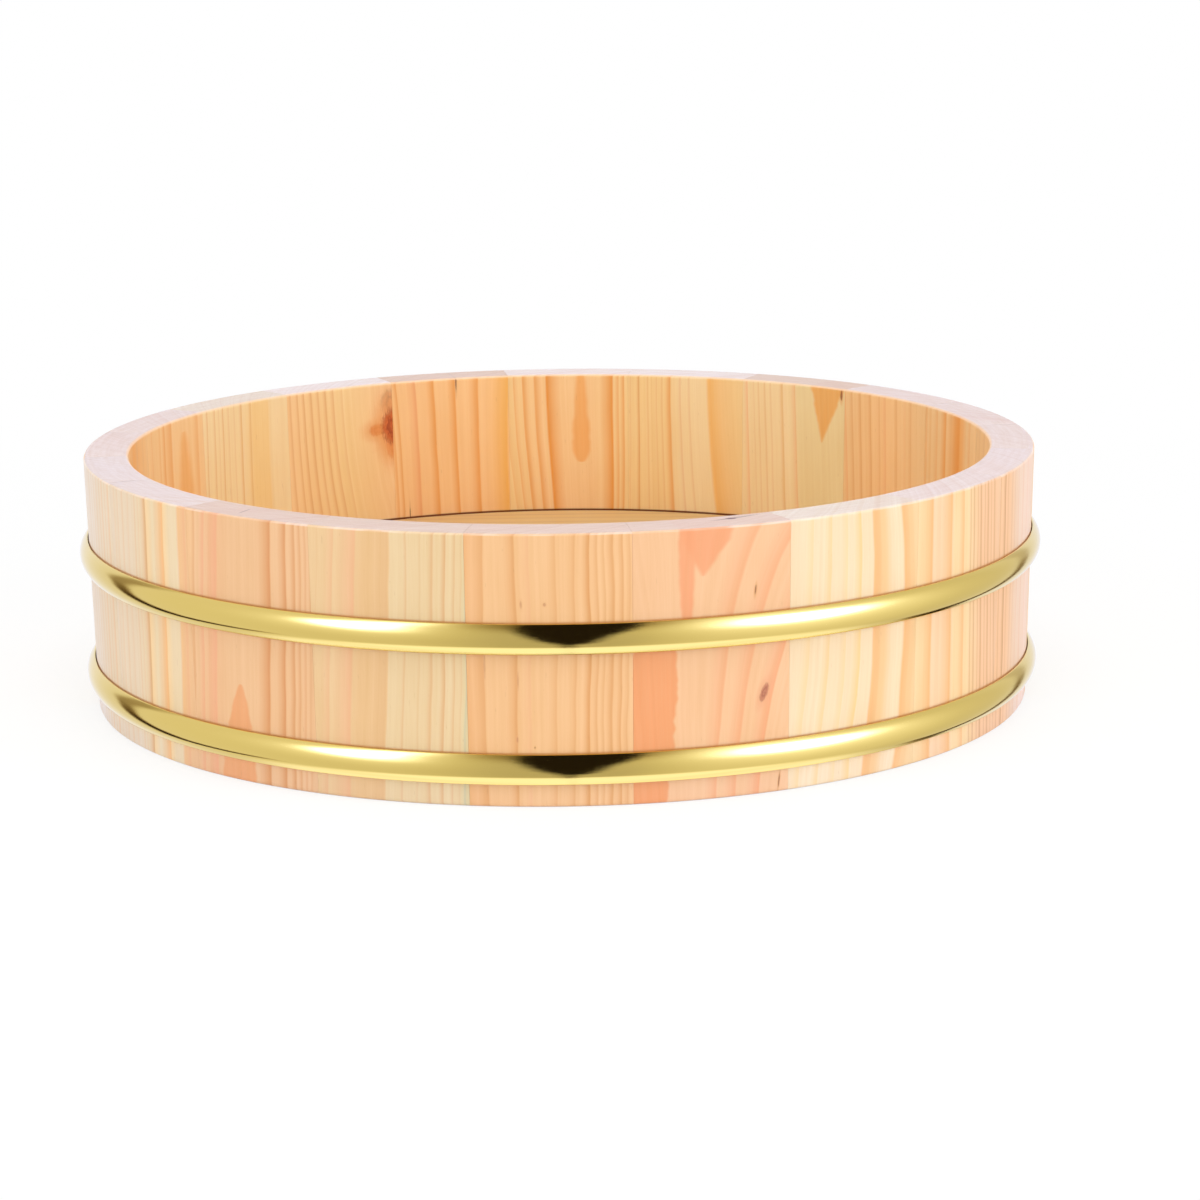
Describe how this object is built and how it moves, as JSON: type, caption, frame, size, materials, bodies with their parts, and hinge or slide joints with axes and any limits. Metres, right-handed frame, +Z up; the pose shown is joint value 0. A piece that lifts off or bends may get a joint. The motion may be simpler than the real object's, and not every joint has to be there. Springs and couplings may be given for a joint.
{
  "type": "sushi rice tub",
  "caption": "Shallow round coopered wooden tub for mixing and serving rice: mitred staves, a board floor let into the wall, and half-round metal hoops.",
  "frame": {"origin": "on the tub's axis, at the surface that the tub stands on", "axes": "+Z up along the tub's axis; -Y towards the side that the picture shows; the floor's boards run along X"},
  "size_m": [0.2692, 0.2692, 0.07],
  "materials": {
    "cream_wood": "planed pale sapwood, unfinished, with straight fine grain",
    "honey_wood": "planed golden wood, unfinished, with darker rings",
    "rose_wood": "planed salmon heartwood, unfinished, with broad flat-sawn rings",
    "floor_wood": "planed golden tan wood, unfinished",
    "bamboo": "shaved bamboo",
    "gilt_metal": "polished gilt half-round strip"
  },
  "bodies": {
    "root": {"stave_01": "honey_wood", "stave_02": "rose_wood", "stave_03": "cream_wood", "stave_04": "cream_wood", "stave_05": "rose_wood", "stave_06": "honey_wood", "stave_07": "honey_wood", "stave_08": "honey_wood", "stave_09": "cream_wood", "stave_10": "cream_wood", "stave_11": "honey_wood", "stave_12": "rose_wood", "stave_13": "honey_wood", "stave_14": "cream_wood", "stave_15": "honey_wood", "stave_16": "rose_wood", "stave_17": "cream_wood", "stave_18": "cream_wood", "stave_19": "rose_wood", "stave_20": "cream_wood", "stave_peg_01": "bamboo", "stave_peg_02": "bamboo", "stave_peg_03": "bamboo", "stave_peg_04": "bamboo", "stave_peg_05": "bamboo", "stave_peg_06": "bamboo", "stave_peg_07": "bamboo", "stave_peg_08": "bamboo", "stave_peg_09": "bamboo", "stave_peg_10": "bamboo", "stave_peg_11": "bamboo", "stave_peg_12": "bamboo", "stave_peg_13": "bamboo", "stave_peg_14": "bamboo", "stave_peg_15": "bamboo", "stave_peg_16": "bamboo", "stave_peg_17": "bamboo", "stave_peg_18": "bamboo", "stave_peg_19": "bamboo", "stave_peg_20": "bamboo", "floor_board_1": "floor_wood", "floor_board_2": "floor_wood", "floor_board_3": "floor_wood", "floor_board_4": "floor_wood", "floor_peg_1": "bamboo", "floor_peg_2": "bamboo", "floor_peg_3": "bamboo", "floor_peg_4": "bamboo", "floor_peg_5": "bamboo", "floor_peg_6": "bamboo", "upper_hoop": "gilt_metal", "lower_hoop": "gilt_metal"}
  },
  "joints": []
}
